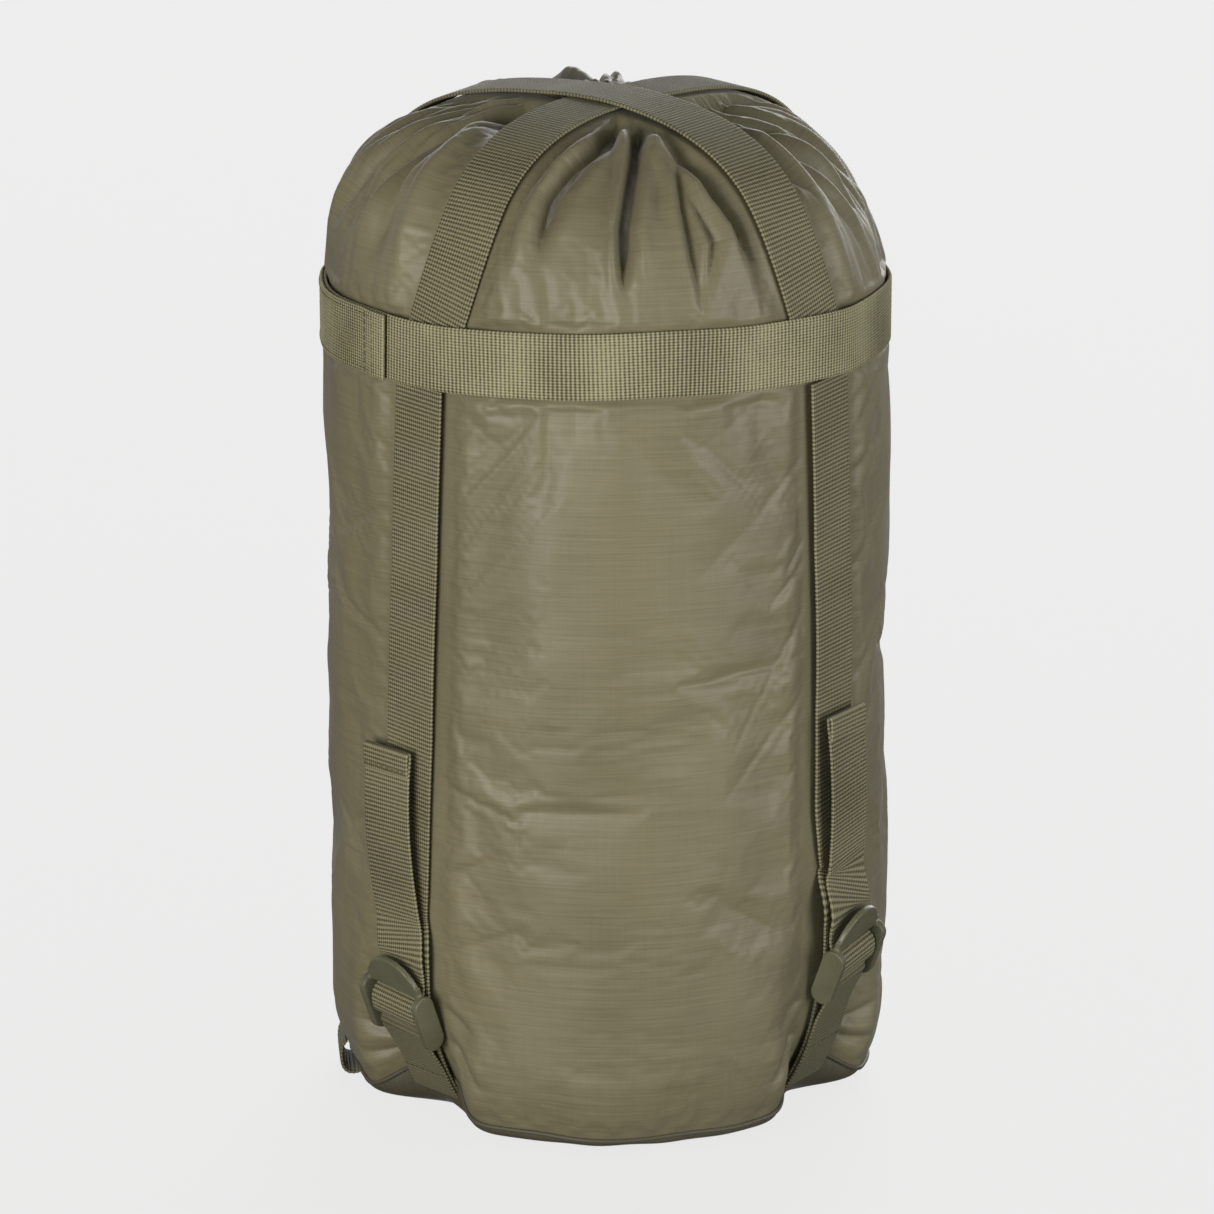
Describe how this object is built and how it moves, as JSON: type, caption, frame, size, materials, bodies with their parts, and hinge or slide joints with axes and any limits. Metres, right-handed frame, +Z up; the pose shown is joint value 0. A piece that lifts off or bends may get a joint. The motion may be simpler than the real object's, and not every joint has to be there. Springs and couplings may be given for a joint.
{
  "type": "compression sack",
  "caption": "Round stuff sack packed full, with a webbing belt, crossing compression straps over its gathered mouth, ladder locks with loose tails near its base, and a haul loop.",
  "frame": {"origin": "middle of the round base, on the floor", "axes": "+Z up along the sack, front lobe facing -Y, +X to the right as seen from the front"},
  "size_m": [0.2255, 0.2237, 0.4004],
  "materials": {
    "sack_fabric": "shiny woven nylon",
    "base_fabric": "shiny woven nylon, in shade",
    "belt_webbing": "ribbed webbing",
    "strap_webbing": "ribbed webbing",
    "lock_plastic": "fine satin moulding",
    "cord_lock_plastic": "satin moulding",
    "cord": "braided",
    "spring_steel": "bright wire",
    "stuffing": "quilted filling"
  },
  "bodies": {
    "base": {"base_panel": "base_fabric", "side_panel": "sack_fabric", "packed_load": "stuffing", "anchor_front_left": "strap_webbing", "anchor_front_right": "strap_webbing", "anchor_back_right": "strap_webbing", "anchor_back_left": "strap_webbing", "strap_run_front_left": "strap_webbing", "strap_run_front_right": "strap_webbing", "strap_run_back_right": "strap_webbing", "strap_run_back_left": "strap_webbing"},
    "top": {"crown": "sack_fabric", "drawcord_tunnel": "sack_fabric", "drawcord": "cord", "cord_lock_barrel": "cord_lock_plastic", "cord_lock_spring": "spring_steel", "belt": "belt_webbing", "cross_strap_under": "strap_webbing", "cross_strap_over": "strap_webbing"},
    "lock_front_left": {"ladder_lock_front_left": "lock_plastic"},
    "lock_front_right": {"ladder_lock_front_right": "lock_plastic"},
    "lock_back_right": {"ladder_lock_back_right": "lock_plastic"},
    "lock_back_left": {"ladder_lock_back_left": "lock_plastic"},
    "tail_front_left": {"strap_tail_front_left": "strap_webbing"},
    "tail_front_right": {"strap_tail_front_right": "strap_webbing"},
    "tail_back_right": {"strap_tail_back_right": "strap_webbing"},
    "tail_back_left": {"strap_tail_back_left": "strap_webbing"},
    "button": {"cord_lock_button": "cord_lock_plastic"},
    "loop": {"haul_loop": "strap_webbing"}
  },
  "joints": [
    {"name": "compression", "type": "slide", "parent": "base", "child": "top", "axis": [0, 0, 1], "range_m": [-0.06, 0.05], "deforming": ["side_panel", "packed_load", "strap_run_front_left", "strap_run_front_right", "strap_run_back_right", "strap_run_back_left"]},
    {"name": "lock_tilt_front_left", "type": "hinge", "parent": "base", "child": "lock_front_left", "pos_m": [-0.08343, -0.06756, 0.041], "axis": [0.6278, -0.7753, -0.0698], "range_deg": [0, 50], "stiffness_Nm_per_rad": 0.12},
    {"name": "lock_tilt_front_right", "type": "hinge", "parent": "base", "child": "lock_front_right", "pos_m": [0.08574, -0.06943, 0.057], "axis": [0.6232, 0.7696, 0.1392], "range_deg": [0, 50], "stiffness_Nm_per_rad": 0.12},
    {"name": "lock_tilt_back_right", "type": "hinge", "parent": "base", "child": "lock_back_right", "pos_m": [0.08464, 0.06854, 0.048], "axis": [-0.6285, 0.7761, 0.0523], "range_deg": [0, 50], "stiffness_Nm_per_rad": 0.12},
    {"name": "lock_tilt_back_left", "type": "hinge", "parent": "base", "child": "lock_back_left", "pos_m": [-0.08416, 0.06815, 0.045], "axis": [-0.6285, -0.7761, -0.0523], "range_deg": [0, 50], "stiffness_Nm_per_rad": 0.12},
    {"name": "tail_slide_front_left", "type": "slide", "parent": "base", "child": "tail_front_left", "axis": [0, 0, 1], "range_m": [-0.05, 0.06], "deforming": ["strap_tail_front_left"]},
    {"name": "tail_slide_front_right", "type": "slide", "parent": "base", "child": "tail_front_right", "axis": [0, 0, 1], "range_m": [-0.05, 0.06], "deforming": ["strap_tail_front_right"]},
    {"name": "tail_slide_back_right", "type": "slide", "parent": "base", "child": "tail_back_right", "axis": [0, 0, 1], "range_m": [-0.05, 0.06], "deforming": ["strap_tail_back_right"]},
    {"name": "tail_slide_back_left", "type": "slide", "parent": "base", "child": "tail_back_left", "axis": [0, 0, 1], "range_m": [-0.05, 0.06], "deforming": ["strap_tail_back_left"]},
    {"name": "cord_lock_press", "type": "slide", "parent": "top", "child": "button", "axis": [0, 0, -1], "range_m": [0, 0.003], "stiffness_N_per_m": 400, "springref_m": -0.002, "deforming": ["cord_lock_spring"]},
    {"name": "haul_loop_swing", "type": "hinge", "parent": "base", "child": "loop", "pos_m": [-0.1048, 0, 0.0132], "axis": [0, 1, 0], "range_deg": [0, 70]}
  ],
  "couplings": [
    {"joint": "tail_slide_front_left", "follows": "compression", "ratio": -1},
    {"joint": "tail_slide_front_right", "follows": "compression", "ratio": -1},
    {"joint": "tail_slide_back_right", "follows": "compression", "ratio": -1},
    {"joint": "tail_slide_back_left", "follows": "compression", "ratio": -1}
  ]
}
